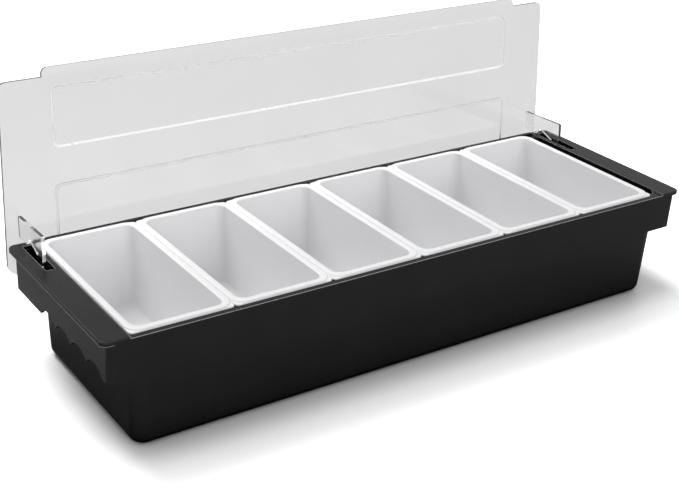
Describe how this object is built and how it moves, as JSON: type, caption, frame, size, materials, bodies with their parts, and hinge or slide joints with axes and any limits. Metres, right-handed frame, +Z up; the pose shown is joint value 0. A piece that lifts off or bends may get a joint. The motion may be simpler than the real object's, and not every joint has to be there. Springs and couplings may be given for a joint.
{
  "type": "bar garnish tray",
  "caption": "Long moulded bar tray with a row of lift-out inserts hung over an ice well and a clear lid hinged at the back.",
  "frame": {"origin": "centre of the tub's flat underside", "axes": "+X along the length towards the right-hand end, -Y towards the front where the lid opens, +Z up"},
  "size_m": [0.4958, 0.1783, 0.2058],
  "materials": {
    "base_black": "fine-grained black moulded plastic with a satin sheen",
    "lid_clear": "clear moulded plastic, glossy",
    "insert_white": "white moulded plastic, glossy"
  },
  "bodies": {
    "base": {"tub_base": "base_black"},
    "lid": {"hinged_lid": "lid_clear"},
    "insert_1": {"insert_1": "insert_white"},
    "insert_2": {"insert_2": "insert_white"},
    "insert_3": {"insert_3": "insert_white"},
    "insert_4": {"insert_4": "insert_white"},
    "insert_5": {"insert_5": "insert_white"},
    "insert_6": {"insert_6": "insert_white"}
  },
  "joints": [
    {"name": "lid_hinge", "type": "hinge", "parent": "base", "child": "lid", "pos_m": [0, 0.0677, 0.06865], "axis": [-1, 0, 0], "range_deg": [-93.45, 0]},
    {"name": "insert_1_lift", "type": "slide", "parent": "base", "child": "insert_1", "axis": [0, 0, 1], "range_m": [0, 0.085]},
    {"name": "insert_2_lift", "type": "slide", "parent": "base", "child": "insert_2", "axis": [0, 0, 1], "range_m": [0, 0.085]},
    {"name": "insert_3_lift", "type": "slide", "parent": "base", "child": "insert_3", "axis": [0, 0, 1], "range_m": [0, 0.085]},
    {"name": "insert_4_lift", "type": "slide", "parent": "base", "child": "insert_4", "axis": [0, 0, 1], "range_m": [0, 0.085]},
    {"name": "insert_5_lift", "type": "slide", "parent": "base", "child": "insert_5", "axis": [0, 0, 1], "range_m": [0, 0.085]},
    {"name": "insert_6_lift", "type": "slide", "parent": "base", "child": "insert_6", "axis": [0, 0, 1], "range_m": [0, 0.085]}
  ]
}
